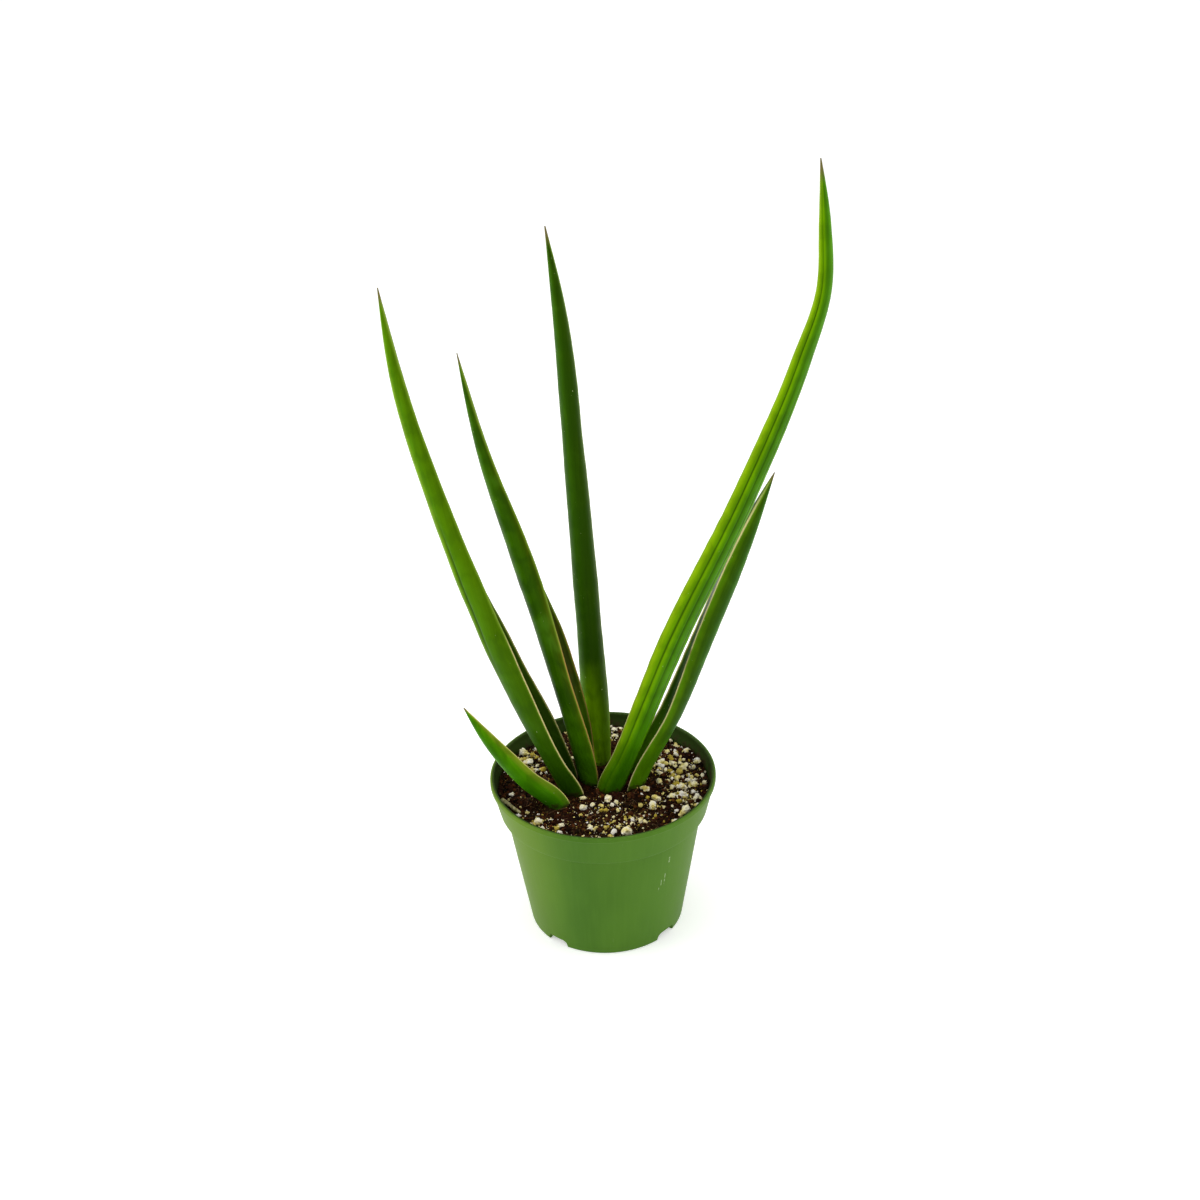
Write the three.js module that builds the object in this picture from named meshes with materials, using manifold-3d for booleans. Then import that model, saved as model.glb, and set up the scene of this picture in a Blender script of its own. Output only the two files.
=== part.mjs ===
// Snake plant with narrow channelled leaves in a squat round nursery pot.
// Millimetres, +Z up. The origin is the middle of the pot's underside, and the front is towards -Y.

import * as THREE from "three";
import { mergeVertices } from "three/addons/utils/BufferGeometryUtils.js";
import Module from "manifold-3d";

const wasm = await Module();
wasm.setup();

// ---- Driving dimensions ----

const clearance = 0.3; // gap between pieces that touch

const pot = {
  height: 80,
  lipRadius: 54,
  lipDepth: 2.4, // height of the rolled lip
  collarTop: 53.2, // outer radius of the collar just under the lip
  collarBottom: 49.9,
  collarDepth: 17, // from the top of the pot down to the step
  bodyTop: 47.3, // outer radius just under the step
  bodyBottom: 37,
  wall: 1.2,
  footWidth: 1.9,
  channelHeight: 2.6, // how far the ring between foot and pad is raised off the ground
  padRadius: 24, // flat middle of the underside
  padSlope: 2, // width of the slope from the pad up to the raised ring
  segments: 40,
};

const notch = {
  count: 4,
  firstAngle: 49, // degrees from +X
  width: 11.5,
  height: 4,
  cornerRadius: 2.6,
  innerRadius: 30,
  outerRadius: 44,
};

const soil = {
  edgeHeight: 72.8,
  shoulder: { radius: 38, height: 73.8 },
  crown: { radius: 16, height: 75 },
  segments: 40,
};

const leafShape = {
  stations: 24, // rings along a leaf
  sidePoints: 8, // points across the back, and again across the channel
  marginThickness: 0.5, // thickness of the leaf's edge
  leastChannelWidth: 0.4, // the channel is never narrower than this share of the half width
};

// Each leaf's spine from its foot to its tip: x, y, z, the leaf's width there, and the direction
// of its rounded back in degrees from +X, so that a leaf can twist where it clasps the next one.
// bulge is its depth as a share of its width, and channel is the hollow's depth as a share of
// that depth, at the foot and at the tip, where a negative share is a face that swells outwards.
const leaves = {
  leaf_far_left: {
    bulge: 0.66,
    channel: [0.75, -0.3],
    colour: 0x4e7d08,
    spine: [
      [-13.2, -4.8, 57, 10.5, 198],
      [-15.6, -5, 75, 15.4, 198],
      [-22.9, -5.2, 94, 16.8, 191],
      [-40, -5.5, 138, 18.6, 190],
      [-69, -6, 228.5, 12.4, 200],
      [-84, -6, 294.5, 7.5, 201],
      [-88.5, -6, 335.2, 0.6, 201],
    ],
  },
  leaf_left: {
    bulge: 0.54,
    channel: [0.7, -0.3],
    colour: 0x2f5a10,
    spine: [
      [-6.2, 2.8, 57, 10, 194],
      [-7.2, 3.2, 75, 15.6, 194],
      [-19.8, 3, 142.5, 18.9, 182],
      [-34.9, 5, 198.9, 16.4, 196],
      [-49.9, 6, 254.7, 8.5, 197],
      [-57.5, 6, 298.6, 0.6, 197],
    ],
  },
  leaf_centre: {
    bulge: 0.49,
    channel: [0.5, -0.5],
    colour: 0x2a5212,
    spine: [
      [-1, 15.6, 57, 7.5, 262],
      [-1.7, 15.6, 75, 10.8, 262],
      [-4.9, 16, 158.9, 11.8, 263],
      [-8.6, 14.5, 242, 9.7, 263],
      [-12.5, 13, 312.3, 6.4, 263],
      [-17.1, 13, 353, 0.6, 263],
    ],
  },
  leaf_right_tall: {
    bulge: 0.38,
    channel: [0.5, -0.8],
    colour: 0x5c9a12,
    spine: [
      [1.8, -7.4, 57, 9.4, 291],
      [4, -7.7, 75, 13.6, 291],
      [10.8, -8.1, 92, 13.4, 296],
      [35.5, -8.6, 157.4, 15.4, 302],
      [67.5, -9, 230.6, 13.5, 303],
      [91.7, -9, 295.5, 10.5, 303],
      [100.9, -9, 329.7, 8.1, 303],
      [100.5, -9, 358, 6.2, 303],
      [97.7, -9, 387.4, 0.6, 303],
    ],
  },
  leaf_right_short: {
    bulge: 0.62,
    channel: [0.65, -0.3],
    colour: 0x2c5c10,
    spine: [
      [12.2, -2.2, 57, 8.8, 352],
      [15.8, -1.8, 75, 13.4, 352],
      [34.5, 1.8, 113.4, 13, 350],
      [50.6, 5, 154.8, 14.8, 350],
      [66.3, 6, 195.9, 12.6, 350],
      [81.3, 6, 235.3, 0.6, 350],
    ],
  },
  pup_leaf: {
    bulge: 0.55,
    channel: [0.5, 0],
    colour: 0x2f7a18,
    spine: [
      [-18.6, -17.6, 57, 8, 236],
      [-22.9, -18, 75, 11.6, 236],
      [-35.9, -18.5, 88.7, 11.3, 236],
      [-50.7, -19, 109.4, 8.7, 236],
      [-63, -20, 132.2, 0.6, 236],
    ],
  },
};

// The underground stem runs from under the pup to a broad crown under the main tuft.
const rhizome = {
  radius: 6,
  tipRadius: 2.5,
  crownHalfWidth: 11,
  crownShare: 0.68, // where along the stem the crown is
  crownSpread: 0.22,
  path: [
    [-27, -20, 50.4],
    [-20, -17, 50.6],
    [-7, -2, 50.6],
    [6, 4, 50.6],
    [17, 4, 50],
  ],
  stations: 12,
  sides: 10,
};

const roots = {
  count: 8,
  thickness: 1.5, // radius where a root leaves the rhizome
  tipThickness: 0.6,
  reach: [13, 23], // how far roots spread sideways, shortest and longest
  depth: [16, 36], // how far they go down
  stations: 6,
  sides: 6,
};

// Larger grains of expanded rock that lie on the soil: x, y and mean width.
const grains = [
  [-40, 29, 5],
  [10, -41, 5.2],
  [19.6, -9.4, 4.2],
  [2, -16.6, 3.8],
  [6.1, -19.6, 2.8],
  [-9.4, -21.8, 3.8],
  [-5.2, -19.8, 2.4],
  [-31, -31, 3.8],
  [-29, -35.5, 2.6],
  [3, -44.5, 3],
  [38, -25.5, 4.6],
  [32.5, -33.5, 3.8],
  [43, -4.4, 3.9],
  [37.5, -6.4, 4.2],
  [42.2, 1, 3.1],
  [39, 9.2, 4.6],
  [44, 10.5, 3],
  [46.2, 15.4, 3.8],
  [28.5, 15.6, 3.4],
  [33.2, 15, 3],
  [35.8, 30, 3.6],
  [41, 25, 3.2],
  [27, -0.6, 3.1],
  [23.2, -22.4, 4.6],
  [17, -34, 2.9],
  [13.2, -32, 2.7],
  [32.6, -6, 3.3],
  [37.8, -13.2, 4.4],
  [32.6, -14.8, 3.3],
  [-35.4, 19, 4.6],
  [6.5, 40, 2.8],
  [24.6, -16.4, 4],
  [-15.2, -45.2, 2.8],
  [-2.2, -45.4, 2.8],
  [44, -20.5, 2.8],
];

const straw = {
  radius: 0.9,
  path: [
    [-48, -10.5],
    [-44.5, -16],
    [-39.8, -21.8],
  ],
  stations: 6,
  sides: 6,
};

// ---- Solids ----

// One closed mesh from rings of equal length, each given as points in order round the ring.
// The ends are closed by strips that join point k to its opposite number across the ring.
function skin(rings) {
  const count = rings[0].length;
  const half = count / 2;
  const indices = [];
  for (let ring = 0; ring < rings.length - 1; ring++) {
    for (let k = 0; k < count; k++) {
      const here = ring * count + k;
      const next = ring * count + ((k + 1) % count);
      indices.push(here, next, next + count, here, next + count, here + count);
    }
  }
  const last = (rings.length - 1) * count;
  for (let k = 0; k < half - 1; k++) {
    const opposite = count - 1 - k;
    indices.push(k, opposite, opposite - 1, k, opposite - 1, k + 1);
    indices.push(last + k, last + opposite - 1, last + opposite, last + k, last + k + 1, last + opposite - 1);
  }
  const geometry = new THREE.BufferGeometry();
  geometry.setAttribute("position", new THREE.Float32BufferAttribute(rings.flat(2), 3));
  geometry.setIndex(indices);
  return geometry;
}

// A closed mesh as a solid for cutting and joining.
function solidOf(geometry) {
  const bare = geometry.clone();
  bare.deleteAttribute("normal");
  bare.deleteAttribute("uv");
  const merged = mergeVertices(bare, 1e-4);
  const vertProperties = new Float32Array(merged.getAttribute("position").array);
  const triVerts = new Uint32Array(merged.getIndex().array);
  return new wasm.Manifold(new wasm.Mesh({ numProp: 3, vertProperties, triVerts }));
}

// A solid's surface as a flat-shaded geometry.
function geometryOf(solid) {
  const mesh = solid.getMesh();
  const geometry = new THREE.BufferGeometry();
  geometry.setAttribute("position", new THREE.Float32BufferAttribute(mesh.vertProperties, 3));
  geometry.setIndex(Array.from(mesh.triVerts));
  return flatShaded(geometry);
}

function flatShaded(geometry) {
  const flat = geometry.index ? geometry.toNonIndexed() : geometry;
  flat.computeVertexNormals();
  return flat;
}

// A profile of [radius, height] points turned about Z, from the axis outwards and back to the axis.
function turned(profile, segments) {
  const points = profile.map(([radius, height]) => new THREE.Vector2(radius, height));
  return new THREE.LatheGeometry(points, segments).rotateX(Math.PI / 2);
}

// ---- Curves ----

// A smooth curve through rows of numbers whose first three are x, y and z. Each stretch is a cubic
// whose slopes at the rows are the neighbouring slopes weighted by the length of the other stretch.
function curveThrough(rows) {
  const knots = [0];
  const slopes = [];
  for (let i = 1; i < rows.length; i++) {
    const span = Math.hypot(...[0, 1, 2].map((axis) => rows[i][axis] - rows[i - 1][axis]));
    knots.push(knots[i - 1] + span);
    slopes.push(rows[i].map((value, column) => (value - rows[i - 1][column]) / span));
  }
  const last = rows.length - 1;
  const tangents = rows.map((row, i) => {
    if (i === 0 || i === last) return null;
    const before = knots[i] - knots[i - 1];
    const after = knots[i + 1] - knots[i];
    return row.map((_, c) => (slopes[i - 1][c] * after + slopes[i][c] * before) / (before + after));
  });
  tangents[0] = slopes[0].map((slope, c) => 1.5 * slope - 0.5 * tangents[1][c]);
  tangents[last] = slopes[last - 1].map((slope, c) => 1.5 * slope - 0.5 * tangents[last - 1][c]);

  // The row of values, and its direction in space, at a share of the whole length.
  return function at(share) {
    const along = share * knots[last];
    let i = 0;
    while (i < last - 1 && along > knots[i + 1]) i++;
    const span = knots[i + 1] - knots[i];
    const u = (along - knots[i]) / span;
    const value = rows[i].map((_, c) => {
      const from = (2 * u ** 3 - 3 * u ** 2 + 1) * rows[i][c] + (u ** 3 - 2 * u ** 2 + u) * span * tangents[i][c];
      const to = (3 * u ** 2 - 2 * u ** 3) * rows[i + 1][c] + (u ** 3 - u ** 2) * span * tangents[i + 1][c];
      return from + to;
    });
    const direction = [0, 1, 2].map((c) => {
      const chord = (6 * u ** 2 - 6 * u) * (rows[i][c] - rows[i + 1][c]) / span;
      return chord + (3 * u ** 2 - 4 * u + 1) * tangents[i][c] + (3 * u ** 2 - 2 * u) * tangents[i + 1][c];
    });
    return { value, direction: new THREE.Vector3(...direction).normalize() };
  };
}

// Rings along a curve. section(value, share) gives a ring as [sideways, outwards] pairs, where
// outwards is the direction facing(value) made square to the curve. extend lengthens both ends.
function ringsAlong(rows, stations, facing, section, extend = 0) {
  const at = curveThrough(rows);
  const rings = [];
  for (let station = 0; station <= stations; station++) {
    const share = station / stations;
    const { value, direction } = at(share);
    const back = facing(value);
    const outwards = back.clone().addScaledVector(direction, -back.dot(direction)).normalize();
    const sideways = direction.clone().cross(outwards);
    const end = station === 0 ? -extend : station === stations ? extend : 0;
    const centre = new THREE.Vector3(...value.slice(0, 3)).addScaledVector(direction, end);
    const ring = section(value, share).map(([u, v]) =>
      centre.clone().addScaledVector(sideways, u).addScaledVector(outwards, v).toArray(),
    );
    rings.push(ring);
  }
  return rings;
}

// An oval section, round by default, whose points pair up across the ring.
function ovalSection(sides, height, width = height) {
  return Array.from({ length: sides }, (_, k) => {
    const angle = (2 * Math.PI * (k + 0.5)) / sides;
    return [-width * Math.cos(angle), height * Math.sin(angle)];
  });
}

// ---- Pot ----

// Outside from the middle of the underside up to the lip, then back down the inside.
function potProfile() {
  const { height, wall, bodyBottom, channelHeight, padRadius, padSlope } = pot;
  const step = height - pot.collarDepth;
  const foot = bodyBottom - pot.footWidth;
  const chamfer = 0.8;
  const stepRise = 0.9;
  const lipUnder = height - pot.lipDepth;
  return [
    [0, 0],
    [padRadius, 0],
    [padRadius + padSlope, channelHeight],
    [foot - 1, channelHeight],
    [foot, 0],
    [bodyBottom - chamfer, 0],
    [bodyBottom, chamfer],
    [pot.bodyTop, step - stepRise],
    [pot.collarBottom, step],
    [pot.collarTop, lipUnder - 0.6],
    [pot.lipRadius, lipUnder],
    [pot.lipRadius, height - 0.7],
    [pot.lipRadius - 0.6, height],
    [pot.lipRadius - 1.4, height],
    [pot.lipRadius - 1.9, height - 0.6],
    [pot.collarTop - wall, lipUnder - 0.6],
    [pot.collarBottom - wall, step + 0.8],
    [pot.bodyTop - wall, step - stepRise - 0.2],
    [bodyBottom + 0.5 - wall, channelHeight + wall],
    [padRadius + padSlope - 0.6, channelHeight + wall],
    [padRadius - 0.6, wall],
    [0, wall],
  ];
}

// An arched prism that cuts one drain notch through the foot and the raised ring of the floor.
function notchSolid(angle) {
  const half = notch.width / 2;
  const corner = notch.cornerRadius;
  const arch = new THREE.Shape();
  arch.moveTo(-half, -1);
  arch.lineTo(half, -1);
  arch.lineTo(half, notch.height - corner);
  arch.absarc(half - corner, notch.height - corner, corner, 0, Math.PI / 2);
  arch.lineTo(corner - half, notch.height);
  arch.absarc(corner - half, notch.height - corner, corner, Math.PI / 2, Math.PI);
  arch.closePath();
  const prism = new THREE.ExtrudeGeometry(arch, {
    depth: notch.outerRadius - notch.innerRadius,
    bevelEnabled: false,
    curveSegments: 4,
  });
  prism.rotateX(Math.PI / 2); // the arch stands up and the prism runs towards -Y
  prism.translate(0, -notch.innerRadius, 0);
  prism.rotateZ(THREE.MathUtils.degToRad(angle + 90));
  return solidOf(prism);
}

function nurseryPot() {
  let solid = solidOf(turned(potProfile(), pot.segments));
  for (let i = 0; i < notch.count; i++) {
    solid = solid.subtract(notchSolid(notch.firstAngle + (360 / notch.count) * i));
  }
  return geometryOf(solid);
}

// ---- Leaves ----

// A leaf's section: a half ellipse for the back, and a shallower one for the channel. grow moves
// the whole outline outwards, to cut the pocket that a leaf stands in.
function leafSection(leaf, grow) {
  const last = leafShape.sidePoints - 1;
  const angles = Array.from({ length: leafShape.sidePoints }, (_, k) => (Math.PI * k) / last);
  return ([, , , width], share) => {
    const halfWidth = Math.max(width, 0.5) / 2;
    const depth = 2 * halfWidth * leaf.bulge;
    const hollow = depth * THREE.MathUtils.lerp(...leaf.channel, share);
    const inner = Math.max(halfWidth - leafShape.marginThickness - grow, halfWidth * leafShape.leastChannelWidth);
    const base = -depth / 2 - grow; // the line between the margins
    const back = angles.map((angle) => [
      -(halfWidth + grow) * Math.cos(angle),
      base + (depth + 2 * grow) * Math.sin(angle),
    ]);
    const channel = angles.map((angle) => [inner * Math.cos(angle), base + hollow * Math.sin(angle)]);
    return [...back, ...channel];
  };
}

function leafGeometry(leaf, grow = 0) {
  const facing = ([, , , , degrees]) => {
    const angle = THREE.MathUtils.degToRad(degrees);
    return new THREE.Vector3(Math.cos(angle), Math.sin(angle), 0);
  };
  return skin(ringsAlong(leaf.spine, leafShape.stations, facing, leafSection(leaf, grow), grow));
}

// ---- Rhizome and roots ----

// The rhizome tapers to both ends and is widest at its crown.
function rhizomeGeometry(grow = 0) {
  const { radius, tipRadius, crownHalfWidth, crownShare, crownSpread, sides } = rhizome;
  const up = new THREE.Vector3(0, 0, 1);
  const section = (_, share) => {
    const fullness = Math.sqrt(Math.sin(Math.PI * THREE.MathUtils.clamp(share, 0.02, 0.98)));
    const swell = Math.exp(-(((share - crownShare) / crownSpread) ** 2));
    const height = THREE.MathUtils.lerp(tipRadius, radius, fullness);
    const width = height * THREE.MathUtils.lerp(1, crownHalfWidth / radius, swell);
    return ovalSection(sides, height + grow, width + grow);
  };
  return skin(ringsAlong(rhizome.path, rhizome.stations, () => up, section, grow));
}

// One root leaves the rhizome downwards and bends outwards.
function rootGeometry(index, grow = 0) {
  const share = (index + 0.7) / roots.count;
  const start = curveThrough(rhizome.path)(share).value;
  const turn = index * 2.4; // radians, so that neighbouring roots point different ways
  const spread = THREE.MathUtils.lerp(...roots.reach, (index * 0.618) % 1);
  const drop = THREE.MathUtils.lerp(...roots.depth, (index * 0.414) % 1);
  const away = [Math.cos(turn), Math.sin(turn)];
  const point = (sideShare, downShare) => [
    start[0] + away[0] * spread * sideShare,
    start[1] + away[1] * spread * sideShare,
    start[2] - drop * downShare,
  ];
  const path = [point(0, 0), point(0.35, 0.35), point(0.75, 0.65), point(1, 1)];
  const side = new THREE.Vector3(-away[1], away[0], 0);
  const section = (_, along) =>
    ovalSection(roots.sides, THREE.MathUtils.lerp(roots.thickness, roots.tipThickness, along) + grow);
  return skin(ringsAlong(path, roots.stations, () => side, section, grow));
}

function rhizomeAndRoots(grow = 0) {
  let solid = solidOf(rhizomeGeometry(grow));
  for (let i = 0; i < roots.count; i++) {
    solid = solid.add(solidOf(rootGeometry(i, grow)));
  }
  return solid;
}

// ---- Soil and what lies on it ----

// Height of the soil at a distance from the middle of the pot.
function soilHeight(radius) {
  const { shoulder, crown } = soil;
  if (radius <= crown.radius) return crown.height;
  const edgeRadius = soilEdgeRadius();
  const [from, to] =
    radius < shoulder.radius ? [crown, shoulder] : [shoulder, { radius: edgeRadius, height: soil.edgeHeight }];
  return THREE.MathUtils.mapLinear(radius, from.radius, to.radius, from.height, to.height);
}

// The pot's inner radius at the soil's edge, less the clearance.
function soilEdgeRadius() {
  const bottom = pot.height - pot.collarDepth;
  const top = pot.height - pot.lipDepth;
  const outer = THREE.MathUtils.mapLinear(soil.edgeHeight, bottom, top, pot.collarBottom, pot.collarTop);
  return outer - pot.wall - clearance - 0.1;
}

// The soil fills the pot and has a pocket for each leaf foot and for the rhizome and roots.
function pottingSoil() {
  const step = pot.height - pot.collarDepth;
  const floor = pot.channelHeight + pot.wall + clearance;
  const profile = [
    [0, pot.wall + clearance],
    [pot.padRadius - 0.8, pot.wall + clearance],
    [pot.padRadius + pot.padSlope - 0.8, floor],
    [pot.bodyBottom + 0.2 - pot.wall, floor],
    [pot.bodyTop - pot.wall - clearance - 0.1, step - 1.1],
    [pot.collarBottom - pot.wall - clearance - 0.1, step + 1],
    [soilEdgeRadius(), soil.edgeHeight],
    [soil.shoulder.radius, soil.shoulder.height],
    [soil.crown.radius, soil.crown.height],
    [0, soil.crown.height],
  ];
  let solid = solidOf(turned(profile, soil.segments)).subtract(rhizomeAndRoots(clearance));
  for (const leaf of Object.values(leaves)) {
    solid = solid.subtract(solidOf(leafGeometry(leaf, clearance)));
  }
  return geometryOf(solid);
}

// A faceted grain, turned and stretched by its number, resting just clear of the soil and the wall.
function grainGeometry([wantedX, wantedY, width], index) {
  const farthest = soilEdgeRadius() - 0.6 * width;
  const pull = Math.min(1, farthest / Math.hypot(wantedX, wantedY));
  const x = wantedX * pull;
  const y = wantedY * pull;
  const geometry = new THREE.IcosahedronGeometry(width / 2, 0);
  geometry.scale(1.1, 0.95, 0.8);
  geometry.rotateX(index * 1.3);
  geometry.rotateZ(index * 2.1);
  geometry.computeBoundingBox();
  const nearSide = Math.max(Math.hypot(x, y) - width / 2, 0);
  const lift = soilHeight(nearSide) + clearance - geometry.boundingBox.min.z;
  return geometry.translate(x, y, lift);
}

function strawGeometry() {
  const rows = straw.path.map(([x, y]) => {
    const highest = soilHeight(Math.hypot(x, y) - straw.radius);
    return [x, y, highest + straw.radius + clearance];
  });
  const up = new THREE.Vector3(0, 0, 1);
  return skin(ringsAlong(rows, straw.stations, () => up, () => ovalSection(straw.sides, straw.radius)));
}

// ---- Assembly ----

const group = new THREE.Group();

function addPiece(name, geometry, colour, roughness) {
  const material = new THREE.MeshStandardMaterial({ color: colour, roughness, metalness: 0 });
  const mesh = new THREE.Mesh(geometry, material);
  mesh.name = name;
  group.add(mesh);
}

addPiece("nursery_pot", nurseryPot(), 0x55802f, 0.55);
addPiece("potting_soil", pottingSoil(), 0x3a2119, 0.95);
addPiece("rhizome_and_roots", geometryOf(rhizomeAndRoots()), 0xb98a4e, 0.8);
for (const [name, leaf] of Object.entries(leaves)) {
  addPiece(name, flatShaded(leafGeometry(leaf)), leaf.colour, 0.45);
}
grains.forEach((grain, index) => {
  const name = `perlite_grain_${String(index + 1).padStart(2, "0")}`;
  addPiece(name, flatShaded(grainGeometry(grain, index)), 0xe6dcc2, 0.9);
});
addPiece("straw_stalk", flatShaded(strawGeometry()), 0xb08a55, 0.85);

export default group;
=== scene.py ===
import math
import bpy
import numpy as np
from mathutils import Matrix, Vector


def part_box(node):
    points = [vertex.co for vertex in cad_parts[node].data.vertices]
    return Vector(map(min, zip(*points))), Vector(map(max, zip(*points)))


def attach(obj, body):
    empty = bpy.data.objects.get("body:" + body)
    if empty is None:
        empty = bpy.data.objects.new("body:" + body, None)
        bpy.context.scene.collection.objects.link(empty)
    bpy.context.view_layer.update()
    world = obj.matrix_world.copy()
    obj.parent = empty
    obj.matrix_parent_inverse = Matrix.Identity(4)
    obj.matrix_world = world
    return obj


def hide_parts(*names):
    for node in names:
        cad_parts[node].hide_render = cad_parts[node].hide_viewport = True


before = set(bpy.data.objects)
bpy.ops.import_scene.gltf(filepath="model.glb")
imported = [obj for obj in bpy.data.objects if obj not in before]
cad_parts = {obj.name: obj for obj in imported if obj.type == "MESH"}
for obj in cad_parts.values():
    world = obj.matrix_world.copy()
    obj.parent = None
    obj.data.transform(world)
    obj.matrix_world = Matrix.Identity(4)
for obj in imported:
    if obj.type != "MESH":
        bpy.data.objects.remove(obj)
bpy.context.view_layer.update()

# Snake plant in a nursery pot. Lengths in the dictionaries are millimetres; meshes are metres.
mm = 0.001
print("frame loaded:", len(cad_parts), "nodes")


class Wire:
    # a shader socket that can be added, subtracted and multiplied; each sum adds a Math node
    def __init__(self, graph, socket):
        self.graph = graph
        self.socket = socket

    def sum(self, operation, first, second):
        return self.graph.node("ShaderNodeMath", {"operation": operation}, {0: first, 1: second})

    def __add__(self, other):
        return self.sum("ADD", self, other)

    def __radd__(self, other):
        return self.sum("ADD", other, self)

    def __sub__(self, other):
        return self.sum("SUBTRACT", self, other)

    def __rsub__(self, other):
        return self.sum("SUBTRACT", other, self)

    def __mul__(self, other):
        return self.sum("MULTIPLY", self, other)

    def __rmul__(self, other):
        return self.sum("MULTIPLY", other, self)


class Graph:
    # one material's nodes; node() makes any of them
    def __init__(self, name):
        self.material = bpy.data.materials.new(name)
        self.material.use_nodes = True
        self.tree = self.material.node_tree
        self.shader = self.tree.nodes["Principled BSDF"]

    def node(self, kind, settings=None, inputs=None, out=0):
        made = self.tree.nodes.new(kind)
        for key, value in (settings or {}).items():
            if key == "stops":
                self.setStops(made.color_ramp, value)
            else:
                setattr(made, key, value)
        for key, value in (inputs or {}).items():
            self.feed(made.inputs[key], value)
        return Wire(self, made.outputs[out])

    def feed(self, socket, value):
        # a value may be a wire, a colour code, or numbers
        if isinstance(value, Wire):
            self.tree.links.new(value.socket, socket)
        elif isinstance(value, str):
            socket.default_value = srgb(value)
        else:
            socket.default_value = value

    def setStops(self, ramp, stops):
        while len(ramp.elements) < len(stops):
            ramp.elements.new(0.5)
        for element, (place, code) in zip(ramp.elements, stops):
            element.position = place
            element.color = srgb(code)

    def attribute(self, name):
        return self.node("ShaderNodeAttribute", {"attribute_name": name}, out="Fac")

    def place(self):
        return self.node("ShaderNodeTexCoord", out="Object")

    def vector(self, x, y, z):
        return self.node("ShaderNodeCombineXYZ", {}, {0: x, 1: y, 2: z})

    def length(self, vector):
        return self.node("ShaderNodeVectorMath", {"operation": "LENGTH"}, {0: vector}, out="Value")

    def size(self, value):
        # a value without its sign
        return self.node("ShaderNodeMath", {"operation": "ABSOLUTE"}, {0: value})

    def noise(self, vector, scale, detail=2.0, roughness=0.5):
        return self.node("ShaderNodeTexNoise", {}, {"Vector": vector, "Scale": scale, "Detail": detail,
                                                    "Roughness": roughness}, out="Fac")

    def step(self, value, low, high):
        # 0 below low and 1 above high, eased between; low may be the larger
        return self.node("ShaderNodeMapRange", {"interpolation_type": "SMOOTHSTEP"},
                         {"Value": value, "From Min": low, "From Max": high})

    def mix(self, share, first, second, blend="MIX"):
        return self.node("ShaderNodeMix", {"data_type": "RGBA", "blend_type": blend},
                         {0: share, 6: first, 7: second}, out=2)

    def grey(self, value):
        # a value as a colour for a multiply
        return self.node("ShaderNodeCombineColor", {}, {0: value, 1: value, 2: value})

    def ramp(self, value, stops):
        return self.node("ShaderNodeValToRGB", {"stops": stops}, {0: value})

    def bump(self, height, depth, strength=1.0):
        # depth in metres for a height from 0 to 1
        return self.node("ShaderNodeBump", {}, {"Height": height, "Distance": depth, "Strength": strength})

    def finish(self, **sockets):
        names = {"colour": "Base Color", "roughness": "Roughness", "normal": "Normal",
                 "specular": "Specular IOR Level", "specularTint": "Specular Tint",
                 "glow": "Emission Color", "glowStrength": "Emission Strength"}
        for key, value in sockets.items():
            self.feed(self.shader.inputs[names[key]], value)
        return self.material


def srgb(code):
    # "#rrggbb" as the linear colour that shaders take
    parts = [int(code[i:i + 2], 16) / 255 for i in (1, 3, 5)]
    return tuple(p / 12.92 if p <= 0.04045 else ((p + 0.055) / 1.055)**2.4 for p in parts) + (1.0,)


def meshPiece(name, points, faces, attributes=None, smooth=True):
    # points in millimetres; attributes are one number for each point
    mesh = bpy.data.meshes.new(name)
    mesh.from_pydata((np.asarray(points) * mm).tolist(), [], [f.tolist() for part in faces for f in part])
    for key, values in (attributes or {}).items():
        layer = mesh.attributes.new(key, "FLOAT", "POINT")
        layer.data.foreach_set("value", np.ascontiguousarray(values, dtype=np.float32).ravel())
    mesh.polygons.foreach_set("use_smooth", np.full(len(mesh.polygons), smooth))
    mesh.update()
    piece = bpy.data.objects.new(name, mesh)
    bpy.context.scene.collection.objects.link(piece)
    return piece


def finishPiece(piece, material, slot, *nodes):
    piece.data.materials.append(material)
    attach(piece, "root")
    if nodes:
        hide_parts(*nodes)


def ringFaces(rings, sides):
    # quads between neighbouring rings that close round on themselves
    start = (np.arange(rings - 1) * sides)[:, None]
    here = np.arange(sides)[None]
    ahead = (here + 1) % sides
    quads = np.stack([start + here, start + ahead, start + sides + ahead, start + sides + here], -1)
    return quads.reshape(-1, 4)


def endStrip(first, sides, turned):
    # closes a ring by joining point k to the one opposite it across the ring
    k = np.arange(sides // 2 - 1)
    far = sides - 1 - k
    quads = np.stack([first + k, first + far, first + far - 1, first + k + 1], -1)
    return quads[:, ::-1] if turned else quads


def closedSkin(rings):
    # rings is stations x points x 3; gives points and faces of one closed body
    stations, sides = rings.shape[:2]
    last = (stations - 1) * sides
    faces = [ringFaces(stations, sides), endStrip(0, sides, False), endStrip(last, sides, True)]
    return rings.reshape(-1, 3), faces


def turnedRings(radius, height, sides):
    # a profile turned about Z: x = radius cos(turn), y = radius sin(turn), z = height
    turn = 2 * np.pi * np.arange(sides) / sides
    radius, height = np.reshape(radius, (-1, 1)), np.reshape(height, (-1, 1))
    return np.stack([radius * np.cos(turn), radius * np.sin(turn), height + 0 * turn], -1)


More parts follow.
